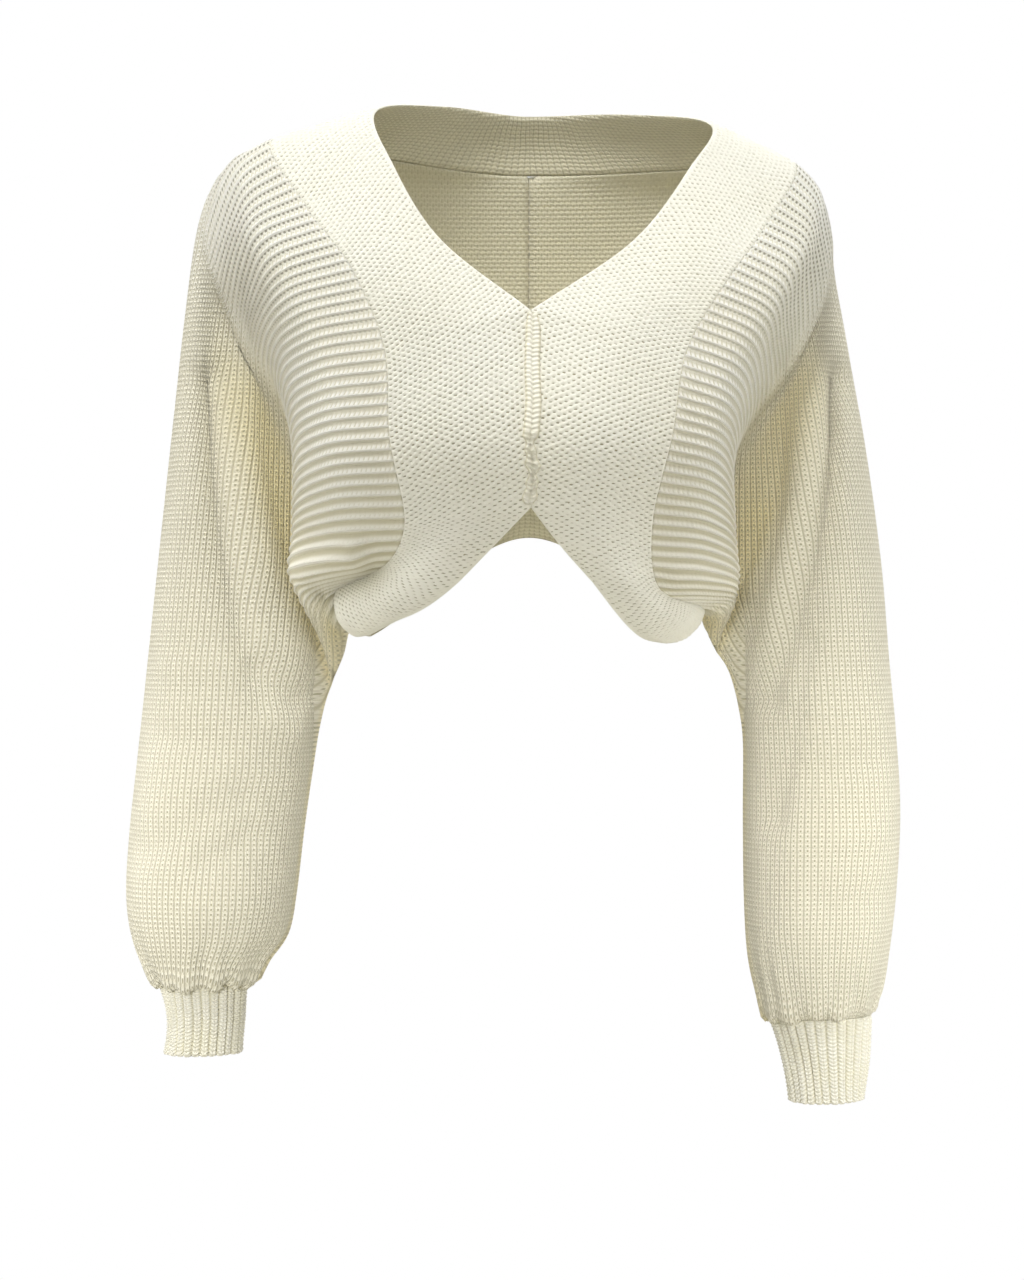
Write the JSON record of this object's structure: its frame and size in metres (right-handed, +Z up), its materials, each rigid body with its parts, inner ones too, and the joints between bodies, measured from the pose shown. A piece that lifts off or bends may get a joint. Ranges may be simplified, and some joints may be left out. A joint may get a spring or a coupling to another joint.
{
  "type": "bolero shrug, a cropped knitted cardigan, worn form",
  "caption": "Cropped cuff-to-cuff shrug in chunky cream knit, with a wide moss-stitch front band meeting below a deep V neck, full dolman sleeves and ribbed cuffs, in its worn hollow form.",
  "frame": {"origin": "midway between the two points where the neck edge crosses the shoulders, where the wearer's shoulders hold the garment up", "axes": "+X to the wearer's left, -Y to the wearer's front, +Z up"},
  "size_m": [0.537, 0.2557, 0.6955],
  "materials": {
    "main_knit": "chunky ribbed wool knit",
    "band_knit": "chunky moss-stitch wool knit",
    "cuff_knit": "ribbed wool knit"
  },
  "bodies": {
    "root": {"dolman_left": "main_knit", "dolman_right": "main_knit", "front_band_left": "band_knit", "front_band_right": "band_knit", "neck_band": "band_knit", "hem_band": "band_knit", "centre_front_strip": "band_knit", "cuff_left": "cuff_knit", "cuff_right": "cuff_knit"}
  },
  "joints": []
}
